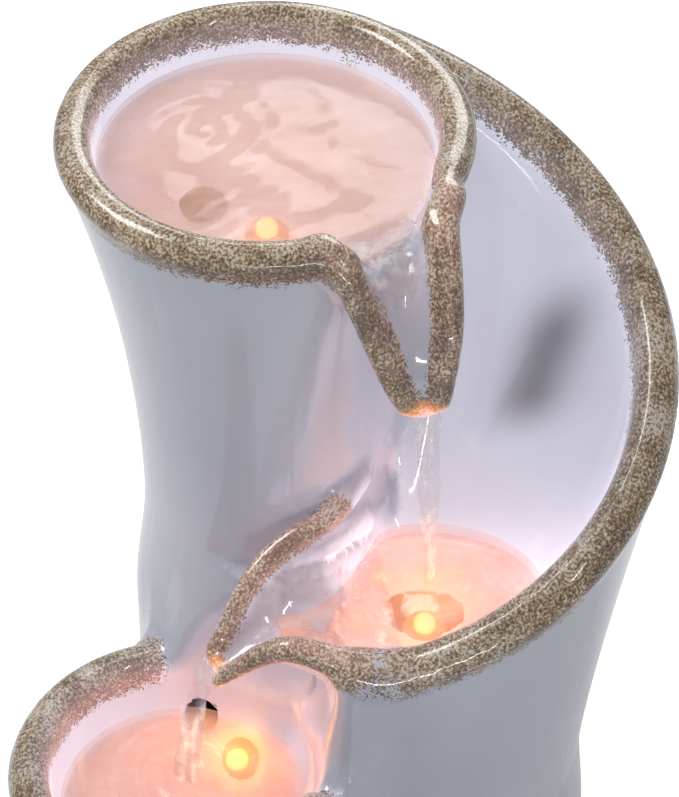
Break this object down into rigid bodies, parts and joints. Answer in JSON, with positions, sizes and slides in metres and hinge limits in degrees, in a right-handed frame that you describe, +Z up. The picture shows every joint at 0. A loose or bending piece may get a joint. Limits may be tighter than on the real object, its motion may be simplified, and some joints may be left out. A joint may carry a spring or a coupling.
{
  "type": "tabletop water fountain",
  "caption": "Glazed ceramic tabletop fountain: water steps from a round upper bowl through a sweeping cascade wall to lower basins, lit from under the water.",
  "frame": {"origin": "middle of the foot pad, on the table", "axes": "+Z up, -Y towards the viewer (front), +X to the right, where the cascade wall is"},
  "size_m": [0.2065, 0.222, 0.285],
  "materials": {
    "glaze": "gloss pale blue-white glaze with brown speckled rims",
    "foam_pad": "matte closed-cell foam",
    "cover_rubber": "matte",
    "seal_rubber": "matte",
    "light_lens": "gloss amber resin",
    "light_body": "gloss resin",
    "pump_black": "moulded",
    "pump_grey": "moulded",
    "rotor": "moulded magnet",
    "shaft": "ground",
    "hose": "clear silicone",
    "lead_sheath": "pvc",
    "water": "clear"
  },
  "bodies": {
    "root": {"foot_casting": "glaze", "body_casting": "glaze", "column_casting": "glaze", "lower_basin": "glaze", "cascade_wall": "glaze", "middle_basin": "glaze", "upper_bowl": "glaze", "upper_spout": "glaze", "middle_spout": "glaze", "foot_pad": "foam_pad", "cord_gland": "seal_rubber", "inlet_bush": "seal_rubber", "suction_cup_1": "seal_rubber", "suction_cup_2": "seal_rubber", "suction_cup_3": "seal_rubber", "suction_cup_4": "seal_rubber", "upper_light_grommet": "seal_rubber", "middle_light_grommet": "seal_rubber", "lower_light_grommet": "seal_rubber", "upper_light_lens": "light_lens", "middle_light_lens": "light_lens", "lower_light_lens": "light_lens", "upper_light_body": "light_body", "middle_light_body": "light_body", "lower_light_body": "light_body", "pump_housing": "pump_black", "pump_volute": "pump_black", "lead_splitter": "pump_black", "potted_coil": "pump_grey", "impeller_shaft": "shaft", "riser_hose": "hose", "upper_light_lead": "lead_sheath", "middle_light_lead": "lead_sheath", "lower_light_lead": "lead_sheath"},
    "rear_cover": {"rear_cover": "cover_rubber"},
    "impeller": {"impeller": "rotor"},
    "intake_cover": {"intake_cover": "pump_black"},
    "flow_dial": {"flow_dial": "pump_grey"}
  },
  "joints": [
    {"name": "rear_cover_pull", "type": "slide", "parent": "root", "child": "rear_cover", "axis": [0, 1, 0], "range_m": [0, 0.05]},
    {"name": "impeller_spin", "type": "hinge", "parent": "root", "child": "impeller", "pos_m": [0.03, 0.04, 0.0299], "axis": [1, 0, 0], "continuous": true},
    {"name": "intake_cover_pull", "type": "slide", "parent": "root", "child": "intake_cover", "axis": [-1, 0, 0], "range_m": [0, 0.012]},
    {"name": "flow_dial_turn", "type": "hinge", "parent": "intake_cover", "child": "flow_dial", "pos_m": [-0.0106, 0.04, 0.0299], "axis": [1, 0, 0], "range_deg": [0, 90]}
  ]
}
